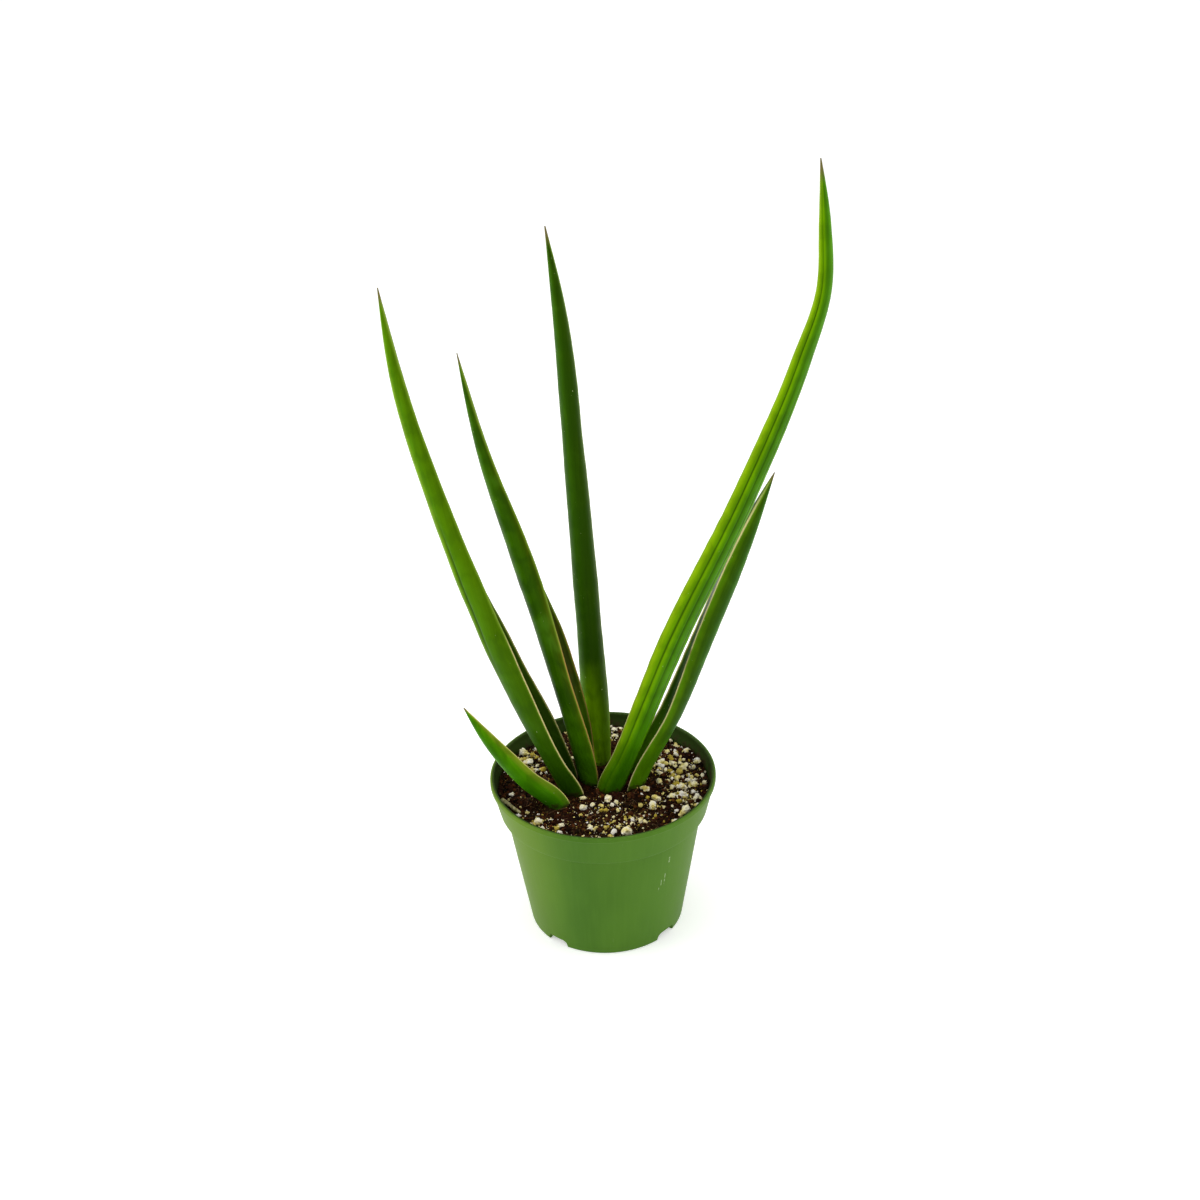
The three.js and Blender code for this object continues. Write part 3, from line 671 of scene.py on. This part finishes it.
def leafSkin(name, leaf, seed):
    # stripes along the leaf, faint cross bands, a lighter rim with a dry margin, specks and a dry tip
    graph = Graph(name + "Skin")
    across = graph.attribute("across")
    inside = graph.attribute("inside")
    edge = graph.attribute("edge")
    around = graph.attribute("round")
    along = graph.attribute("along")
    share = graph.attribute("share")
    height = graph.attribute("height")
    # streaks run the length of the leaf; blotches and bands lie across it
    streak = graph.noise(graph.vector(around * 0.55, along * 0.012, seed), 1.0, 3.0, 0.6)
    thread = graph.noise(graph.vector(around * 3.2, along * 0.03, seed), 1.0, 2.0, 0.7)
    blotch = graph.noise(graph.vector(around * 0.12, along * 0.035, seed), 1.0, 2.0)
    warp = graph.noise(graph.vector(around * 0.3, along * 0.04, seed), 1.0, 2.0)
    band = graph.noise(graph.vector(around * 0.06, along * 0.11 + warp * 1.5, seed), 1.0, 1.0)
    stops = [((place + 1) / 2, code) for place, code in leaf["stripes"]]
    wander = (streak - 0.5) * 0.05
    colour = graph.ramp((across + 1) * 0.5 + wander, stops)
    # painted shade: the grooves on the back darkened
    colour = graph.mix(graph.attribute("crease") * 0.85, colour, "#143000")
    # the channel's colour, dark with painted shade of the hollow
    colour = graph.mix(inside, colour, leaf["inner"])
    lowColour, lowHeight, lowSide = leaf["low"]
    leftOut = lowSide * graph.step(across, 0.0, 0.7)
    low = graph.step(height + (blotch - 0.5) * 30, lowHeight, 4.0) * (1 - leftOut)
    # colour near the soil, fitted to the light there; on the centre leaf it is painted light over the shade
    # among the leaves' feet
    colour = graph.mix(low * 0.75, colour, lowColour)
    shade = 0.5 + streak * 0.62 + thread * 0.3
    colour = graph.mix(1.0, colour, graph.grey(shade), "MULTIPLY")
    bands = graph.step(band, 0.42, 0.62)
    colour = graph.mix(bands * leaf["bands"], colour, "#1a3c04")
    pale = graph.step(band, 0.42, 0.2)
    colour = graph.mix(pale * leaf["bands"] * 0.5, colour, "#5c9424")
    # thin dry margin, cream with brown stretches
    marginField = graph.noise(graph.vector(0.0, along * 0.05, seed), 1.0, 3.0)
    marginColour = graph.mix(graph.step(marginField, 0.54, 0.7), leaf["margin"], "#6b4a22")
    marginTop = leaf["marginTop"]
    margin = graph.step(edge, 0.55, 0.25)
    # painted highlight: a lighter rim where the rounded edges catch light
    rim = graph.step(edge, 1.4, 0.4)
    colour = graph.mix(rim * 0.4, colour, "#7c9c2c")
    dry = margin * graph.step(height + (blotch - 0.5) * 40, marginTop + 12, marginTop - 12)
    colour = graph.mix(margin * 0.4, colour, "#9cb850")
    colour = graph.mix(dry * 0.9, colour, marginColour)
    # small pale scars and specks
    speckField = graph.noise(graph.vector(around * 1.6, along * 0.55, seed + 3.0), 1.0, 1.0)
    specks = graph.step(speckField, 0.79, 0.83)
    colour = graph.mix(specks * 0.7, colour, "#cdd8a0")
    # dry point at the tip, a little soil at the foot
    tip = graph.step(share, 0.965, 0.992)
    colour = graph.mix(tip * 0.85, colour, "#6e5c3c")
    dirt = graph.step(height + (graph.noise(graph.place(), 500.0, 3.0) - 0.5) * 9, 3.5, -0.5)
    colour = graph.mix(dirt * 0.8, colour, "#2c1810")
    roughness = 0.34 + streak * 0.16 + dirt * 0.4 + margin * 0.2 + tip * 0.25
    bump = graph.bump(streak * 0.5 + thread * 0.3 + specks * 0.6 + dirt, 0.00025, 0.6)
    return graph.finish(colour=colour, roughness=roughness, normal=bump, specular=0.06,
                        specularTint=(0.75, 1.0, 0.15, 1.0))


def makeLeaves():
    for seed, (name, leaf) in enumerate(leaves.items()):
        rings, numbers = leafRings(leaf, 10 * seed + 3)
        points, faces = closedSkin(rings)
        piece = meshPiece(name, points, faces, numbers)
        finishPiece(piece, leafSkin(name, leaf, 7.3 * seed), leaf["slot"], leaf["node"])


makeLeaves()
print("leaves made")


rhizome = {
    "path": [(-27, -20, 50.4), (-20, -17, 50.6), (-7, -2, 50.6), (6, 4, 50.6), (17, 4, 50)],
    "radius": 6, "tipRadius": 2.5, "crownWidening": 1.83, "crownShare": 0.68, "crownSpread": 0.22,
    "scars": 26, "stations": 120, "sides": 32, "roughness": (0.12, 3.0),  # height and wavelength
    "rootCount": 8, "rootRadius": (1.5, 0.6), "rootReach": (13, 23), "rootDepth": (16, 36),
    "rootStations": 40, "rootSides": 12, "rootTurn": 2.4,  # radians from one root to the next
    "rootBend": [(0, 0), (0.35, 0.35), (0.75, 0.65), (1, 1)],  # shares of the reach and of the depth
}


def rhizomeSkin():
    # pale yellow brown, darker in the ring scars, with peat clinging to it
    graph = Graph("rhizomeBark")
    place = graph.place()
    scar = graph.attribute("scar")
    broad = graph.noise(place, 120.0, 3.0)
    fine = graph.noise(place, 900.0, 3.0, 0.65)
    colour = graph.mix(graph.step(broad, 0.35, 0.65), "#b98a4a", "#d9b87c")
    colour = graph.mix(scar * 0.7, colour, "#6a4422")
    colour = graph.mix(graph.step(fine, 0.55, 0.7) * 0.7, colour, "#2c150c")
    return graph.finish(colour=colour, roughness=0.6 + 0.3 * fine,
                        normal=graph.bump(fine + scar * -0.6, 0.0003))


def makeRhizome():
    # radius = tip + (radius - tip) sqrt(sin(pi share)), widened by a bell curve at the crown;
    # a root is a tapering tube that runs outwards and down
    share = np.linspace(0, 1, rhizome["stations"])
    fullness = np.sqrt(np.sin(np.pi * np.clip(share, 0.02, 0.98)))
    swell = np.exp(-((share - rhizome["crownShare"]) / rhizome["crownSpread"])**2)
    ridge = np.abs(np.sin(np.pi * rhizome["scars"] * share))**0.5
    radii = rhizome["tipRadius"] + (rhizome["radius"] - rhizome["tipRadius"]) * fullness
    radii = radii * (0.95 + 0.04 * ridge)
    widening = 1 + (rhizome["crownWidening"] - 1) * swell
    bodies = [tube(rhizome["path"], radii, rhizome["sides"], widening=widening)]
    scars = [np.repeat(1 - ridge, rhizome["sides"])]
    rootRadii = np.linspace(*rhizome["rootRadius"], rhizome["rootStations"])
    spots = curveThrough(rhizome["path"], 81)[0]
    for index in range(rhizome["rootCount"]):
        spot = spots[int(80 * (index + 0.7) / rhizome["rootCount"])]
        turn = index * rhizome["rootTurn"]
        away = np.array([math.cos(turn), math.sin(turn), 0])
        reach = np.interp((index * 0.618) % 1, [0, 1], rhizome["rootReach"])
        drop = np.interp((index * 0.414) % 1, [0, 1], rhizome["rootDepth"])
        path = [spot + away * reach * out - np.array([0, 0, drop * down])
                for out, down in rhizome["rootBend"]]
        bodies.append(tube(path, rootRadii, rhizome["rootSides"], (-away[1], away[0], 0)))
        scars.append(np.zeros(rhizome["rootStations"] * rhizome["rootSides"]))
    points, faces, start = [], [], 0
    height, wavelength = rhizome["roughness"]
    for rings in bodies:
        rings = rings + height * waves(rings, 61, wavelength)[..., None]
        spots, parts = closedSkin(rings)
        points.append(spots)
        faces.extend(part + start for part in parts)
        start += len(spots)
    piece = meshPiece("rhizomeAndRoots", np.concatenate(points), faces, {"scar": np.concatenate(scars)})
    finishPiece(piece, rhizomeSkin(), "rhizome", "rhizome_and_roots")


makeRhizome()
print("rhizome and roots made")


soil = {
    "edgeHeight": 72.8, "shoulderRadius": 38, "shoulderHeight": 73.8, "crownRadius": 16, "crownHeight": 75,
    "bump": 0.9, "settle": 0.3, "rings": 130, "segments": 380, "gap": 0.35,
    "sideHeights": [71, 67, 63.6, 61.4, 45, 25, 10, 4.3],
    "base": [(25.2, 4.3), (23, 1.7), (10, 1.7)],  # radius and height, inwards over the pot's raised pad
    "looseLevel": 74,  # height where the pot's radius limits loose crumbs and grains
    "crumbs": [(2600, 0.7, 1.5), (900, 1.3, 2.6)],  # how many, least and greatest size
}


def potInner(z):
    # the pot's inner radius at a height
    step = pot["height"] - pot["collarDepth"]
    below, above = pot["innerStep"]
    wall = pot["wall"]
    heights = [pot["channelHeight"] + wall, step - below, step + above, pot["height"] - pot["lipDepth"]]
    radii = [pot["bodyBottom"] + pot["cornerFill"] - wall, pot["bodyTop"] - wall,
             pot["collarBottom"] - wall, pot["collarTop"] - wall]
    return np.interp(z, heights, radii)


def looseEdge(margin):
    # how far from the axis loose crumbs and grains may lie
    return float(potInner(soil["looseLevel"])) - margin


def soilTop(x, y):
    # smooth crown plus lumps: several wave fields, from broad mounds to crumbs
    radius = np.hypot(x, y)
    edge = float(potInner(soil["edgeHeight"]))
    base = np.interp(radius, [0, soil["crownRadius"], soil["shoulderRadius"], edge],
                     [soil["crownHeight"], soil["crownHeight"], soil["shoulderHeight"], soil["edgeHeight"]])
    spots = np.stack([x, y], -1)
    lumps = 0.75 * waves(spots, 1, 17, 10) + 0.5 * waves(spots, 2, 7, 14)
    lumps = lumps + 0.45 * np.abs(waves(spots, 3, 3.2, 20))
    return base - soil["settle"] + soil["bump"] * lumps


def soilBody():
    # rings out over the pot's floor, up its wall and in over the top, whose height is soilTop
    # plus fine crumbs
    edge = float(potInner(soil["edgeHeight"])) - soil["gap"]
    radius = edge * np.linspace(0, 1, soil["rings"] + 1)[1:]
    top = turnedRings(radius, 0 * radius, soil["segments"])
    spots = np.ascontiguousarray(top[..., :2])
    crumbs = 0.42 * np.abs(waves(spots, 4, 1.5, 26)) + 0.2 * waves(spots, 5, 0.8, 26)
    top[..., 2] = soilTop(spots[..., 0], spots[..., 1]) + crumbs - 0.2
    heights = np.array(soil["sideHeights"])
    side = turnedRings(potInner(heights) - soil["gap"], heights, soil["segments"])
    base = turnedRings(*np.transpose(soil["base"]), soil["segments"])
    rings = np.concatenate([base[::-1], side[::-1], top[::-1]])
    return poledSkin(rings, soil["base"][-1][1], float(soilTop(np.array(0.0), np.array(0.0))))


def peatMaterial(name, toned):
    # dark reddish brown crumbs; toned pieces carry a tone for each crumb
    graph = Graph(name)
    place = graph.place()
    coarse = graph.noise(place, 260.0, 4.0, 0.65)
    fine = graph.noise(place, 1400.0, 3.0, 0.7)
    tone = graph.attribute("tone") if toned else coarse
    stops = [(0.2, "#0c0300"), (0.45, "#1e0a02"), (0.65, "#3a1806"), (0.88, "#623614")]
    colour = graph.ramp(tone * 0.7 + fine * 0.3, stops)
    patch = graph.step(graph.noise(place, 55.0, 2.0), 0.46, 0.6)
    flecks = graph.step(graph.noise(place, 760.0, 3.0, 0.65), 0.6, 0.7)
    colour = graph.mix(flecks * (0.2 + 0.6 * patch), colour, "#b09c50")
    colour = graph.mix(patch * 0.25, colour, "#33240a")
    return graph.finish(colour=colour, roughness=0.78 + 0.2 * fine,
                        normal=graph.bump(coarse * 0.6 + fine * 0.6, 0.0006), specular=0.1)


def inLeaf(x, y, margin):
    # true where a spot on the soil is under one of the leaves' feet
    taken = np.zeros(np.shape(x), bool)
    for leaf in leaves.values():
        foot = leaf["spine"][1]
        taken |= np.hypot(x - foot[0], y - foot[1]) < foot[3] * 0.42 + margin
    return taken


def scatter(count, seed, edge, clusters=None):
    # seeded spots on the soil, clear of the leaves; clusters are x, y, spread and weight of denser places
    rng = np.random.default_rng(seed)
    spots = rng.uniform(-edge, edge, (count * 14, 2))
    spots = spots[np.hypot(spots[:, 0], spots[:, 1]) < edge]
    spots = spots[~inLeaf(spots[:, 0], spots[:, 1], 0.5)]
    if clusters:
        weight = np.full(len(spots), perlite["sparse"])
        for x, y, spread, strength in clusters:
            weight += strength * np.exp(-((spots[:, 0] - x)**2 + (spots[:, 1] - y)**2) / (2 * spread**2))
        spots = spots[rng.uniform(0, 1, len(spots)) < weight]
    return spots[:count], rng


def manyBalls(name, spots, sizes, rng, rings, sides, flat, lumpiness, sink):
    # one mesh of many small lumps: each is a ball stretched, dented at each point by a seeded share,
    # tilted, turned and set on the soil, raised by sink times its size
    shape, faces = ball(rings, sides)
    count = len(spots)
    stretch = rng.uniform(0.6, 1.35, (count, 1, 3)) * [1, 1, flat]
    dent = 1 + lumpiness * rng.uniform(-1, 1, (count, len(shape), 1))
    lumps = shape[None] * dent * stretch * sizes[:, None, None] / 2
    turn = rng.uniform(0, 2 * np.pi, (count, 1))
    tilt = rng.uniform(-0.6, 0.6, (count, 1))
    x, y, z = lumps[..., 0], lumps[..., 1], lumps[..., 2]
    y, z = y * np.cos(tilt) - z * np.sin(tilt), y * np.sin(tilt) + z * np.cos(tilt)
    x, y = x * np.cos(turn) - y * np.sin(turn), x * np.sin(turn) + y * np.cos(turn)
    ground = soilTop(spots[:, 0], spots[:, 1])[:, None]
    points = np.stack([x + spots[:, :1], y + spots[:, 1:], z + ground + sizes[:, None] * sink], -1)
    shift = (np.arange(count) * len(shape))[:, None, None]
    allFaces = [(part[None] + shift).reshape(-1, part.shape[1]) for part in faces]
    tones = np.repeat(rng.uniform(0, 1, count)[:, None], len(shape), 1)
    return meshPiece(name, points.reshape(-1, 3), allFaces, {"tone": tones})


def makeSoil():
    points, faces = soilBody()
    body = meshPiece("pottingSoil", points, faces)
    finishPiece(body, peatMaterial("peat", False), "potting_mix", "potting_soil")
    for index, (count, low, high) in enumerate(soil["crumbs"]):
        spots, rng = scatter(count, 20 + index, looseEdge(1.0))
        sizes = rng.uniform(low, high, len(spots))
        crumbs = manyBalls(f"peatCrumbs{index + 1}", spots, sizes, rng, 3, 6, 0.8, 0.28, 0.1)
        finishPiece(crumbs, peatMaterial(f"peatCrumb{index + 1}", True), "potting_mix")


makeSoil()
print("soil made")


perlite = {
    # x, y, spread and weight of the places where grains lie thickest
    "clusters": [(36, 8, 6, 0.9), (37, -9, 5, 1.0), (42, -20, 4, 0.7), (27, 16, 5, 0.6), (-35, 21, 5, 0.9),
                 (-30, 14, 4, 0.4), (-2, -41, 6, 0.5), (-28, -34, 5, 0.7), (14, -32, 5, 0.6), (6, 41, 5, 0.6),
                 (41, 24, 5, 0.5), (-8, -23, 5, 0.5), (4, -20, 4, 0.5), (24, -20, 4, 0.5)],
    "sparse": 0.06,  # weight everywhere else
    # how many, least and greatest size, seed
    "loose": {"perliteSmall": (400, 0.9, 2.9, 41), "perliteDust": (1500, 0.4, 1.0, 42)},
    "cuts": 8, "cutDepth": (0.5, 0.85), "steepest": 0.42, "reach": 1.12, "fill": 1.1, "sink": 0.06,
}


def perliteMaterial(name, toned):
    # cream white porous grains, some stained yellow, with brown in the pits: peat, and painted shade of the
    # pits
    graph = Graph(name)
    place = graph.place()
    broad = graph.noise(place, 230.0, 2.0)
    pores = graph.noise(place, 1500.0, 3.0, 0.7)
    tone = graph.attribute("tone") if toned else broad * 1.6 - 0.45
    colour = graph.ramp(tone, [(0.08, "#fffaf0"), (0.32, "#fff6cc"), (0.58, "#f8e890"), (0.9, "#b8a23c")])
    colour = graph.mix(graph.step(broad, 0.5, 0.68) * 0.55, colour, "#c8b44c")
    pitPeatAndShade = graph.step(pores, 0.58, 0.68)
    # brown in the pits: peat, and painted shade of the pits
    colour = graph.mix(pitPeatAndShade * 0.55, colour, "#6a4c22")
    return graph.finish(colour=colour, roughness=0.85 + 0.1 * broad,
                        normal=graph.bump(pores * -1.0 + broad * 0.5, 0.0005), specular=0.1)


def makeGrain(index, node):
    # radius = the nearest of eight flat cuts, depth over the cosine to each, plus waves, less pits
    low, high = (np.array(corner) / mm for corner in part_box(node))
    centre, size = (low + high) / 2, high - low
    shape, faces = ball(22, 30)
    rng = np.random.default_rng(400 + index)
    facet = rng.normal(size=(perlite["cuts"], 3))
    facet /= np.linalg.norm(facet, axis=1)[:, None]
    depth = rng.uniform(*perlite["cutDepth"], perlite["cuts"])
    radius = np.min(depth / np.maximum(shape @ facet.T, perlite["steepest"]), axis=1)
    radius = np.minimum(radius, perlite["reach"])
    lumps = 0.12 * waves(shape, 500 + index, 1.5) + 0.1 * waves(shape, 600 + index, 0.5)
    pits = 0.1 * np.abs(waves(shape, 700 + index, 0.25, 26))
    points = shape * (radius + lumps - pits)[:, None] * size / 2 * perlite["fill"] + centre
    x, y = centre[:2]
    points[:, 2] += float(soilTop(np.array(x), np.array(y))) - low[2] - size[2] * perlite["sink"]
    piece = meshPiece(f"perliteGrain{index + 1:02d}", points, faces)
    finishPiece(piece, grainMaterial, "perlite", node)


def makePerlite():
    nodes = sorted(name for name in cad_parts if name.startswith("perlite_grain"))
    for index, node in enumerate(nodes):
        makeGrain(index, node)
    for name, (count, low, high, seed) in perlite["loose"].items():
        spots, rng = scatter(count, seed, looseEdge(1.2), perlite["clusters"])
        sizes = low + (high - low) * rng.uniform(0, 1, len(spots))**1.8
        grains = manyBalls(name, spots, sizes, rng, 4, 7, 0.85, 0.3, 0.24)
        finishPiece(grains, perliteMaterial(name + "Rock", True), "perlite")


grainMaterial = perliteMaterial("perliteRock", False)
makePerlite()
print("perlite made")


straw = {
    "radius": 1.0, "taper": 0.25, "rest": 1.1, "stations": 60, "sides": 16,
    "joint": (0.45, 0.02, 0.18),  # share of the length, spread and height of the ring
}
fibres = {
    "count": 130, "length": (2.5, 7), "thickness": (0.07, 0.16), "taper": 0.6, "bend": 1.2,
    "lift": (0.2, 1.2), "rest": 0.35, "stations": 6, "sides": 4,
}


def strawMaterial(name, dark, light):
    # dry plant matter: fine grain between two tones, with brown patches
    graph = Graph(name)
    place = graph.place()
    grain = graph.noise(graph.node("ShaderNodeVectorMath", {"operation": "MULTIPLY"},
                                   {0: place, 1: (1.0, 0.5, 1.0)}), 900.0, 3.0, 0.6)
    broad = graph.noise(place, 180.0, 2.0)
    colour = graph.mix(graph.step(grain, 0.35, 0.65), dark, light)
    colour = graph.mix(graph.step(broad, 0.5, 0.7) * 0.5, colour, "#5e4424")
    return graph.finish(colour=colour, roughness=0.7 + 0.2 * grain, normal=graph.bump(grain, 0.0002))


def makeStraw():
    # a dry stalk: radius = 1 - taper share, plus a bell curve for the joint ring in the middle
    low, high = (np.array(corner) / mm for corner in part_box("straw_stalk"))
    middle = (low + high) / 2
    rows = np.array([[low[0] + 0.5, high[1] - 0.3, 0], [middle[0] - 0.4, middle[1] - 0.4, 0],
                     [high[0] - 0.4, low[1] + 0.5, 0]])
    rows[:, 2] = soilTop(rows[:, 0], rows[:, 1]) + straw["rest"]
    share = np.linspace(0, 1, straw["stations"])
    middleShare, spread, height = straw["joint"]
    radii = straw["radius"] - straw["taper"] * share + height * np.exp(-((share - middleShare) / spread)**2)
    rings = tube(rows, radii, straw["sides"])
    rings += 0.05 * waves(rings, 71, 1.2)[..., None]
    points, faces = closedSkin(rings)
    piece = meshPiece("strawStalk", points, faces)
    finishPiece(piece, strawMaterial("dryStraw", "#8c8448", "#c8c090"), "straw", "straw_stalk")


def makeFibres():
    # each fibre is a thin tapering tube on an arc over the soil: x and y along a turning heading,
    # z = soilTop + lift sin(pi share)
    spots, rng = scatter(fibres["count"], 81, looseEdge(5))
    count = len(spots)
    share = np.linspace(0, 1, fibres["stations"])
    length = rng.uniform(*fibres["length"], (count, 1))
    turn = rng.uniform(0, 2 * np.pi, (count, 1))
    bend = rng.uniform(-fibres["bend"], fibres["bend"], (count, 1))
    heading = turn + bend * (share[None] - 0.5)
    x = spots[:, :1] + length * (share[None] - 0.5) * np.cos(heading)
    y = spots[:, 1:] + length * (share[None] - 0.5) * np.sin(heading)
    lift = rng.uniform(*fibres["lift"], (count, 1)) * np.sin(np.pi * share[None]) + fibres["rest"]
    z = soilTop(x, y) + lift
    side = np.stack([-np.sin(heading), np.cos(heading), 0 * heading], -1)
    slimming = (1 - fibres["taper"] * share)[None, :, None, None]
    radius = rng.uniform(*fibres["thickness"], (count, 1, 1, 1)) * slimming
    angle = 2 * np.pi * (np.arange(fibres["sides"]) + 0.5) / fibres["sides"]
    ring = -np.cos(angle)[:, None] * side[:, :, None] + np.sin(angle)[:, None] * np.array([0, 0, 1.0])
    points = np.stack([x, y, z], -1)[:, :, None] + radius * ring
    single = closedSkin(points[0])[1]
    shift = (np.arange(count) * fibres["stations"] * fibres["sides"])[:, None, None]
    faces = [(part[None] + shift).reshape(-1, 4) for part in single]
    piece = meshPiece("peatFibres", points.reshape(-1, 3), faces)
    finishPiece(piece, strawMaterial("peatFibre", "#4c2e18", "#8a6238"), "straw")


makeStraw()
makeFibres()
print("straw and fibres made")
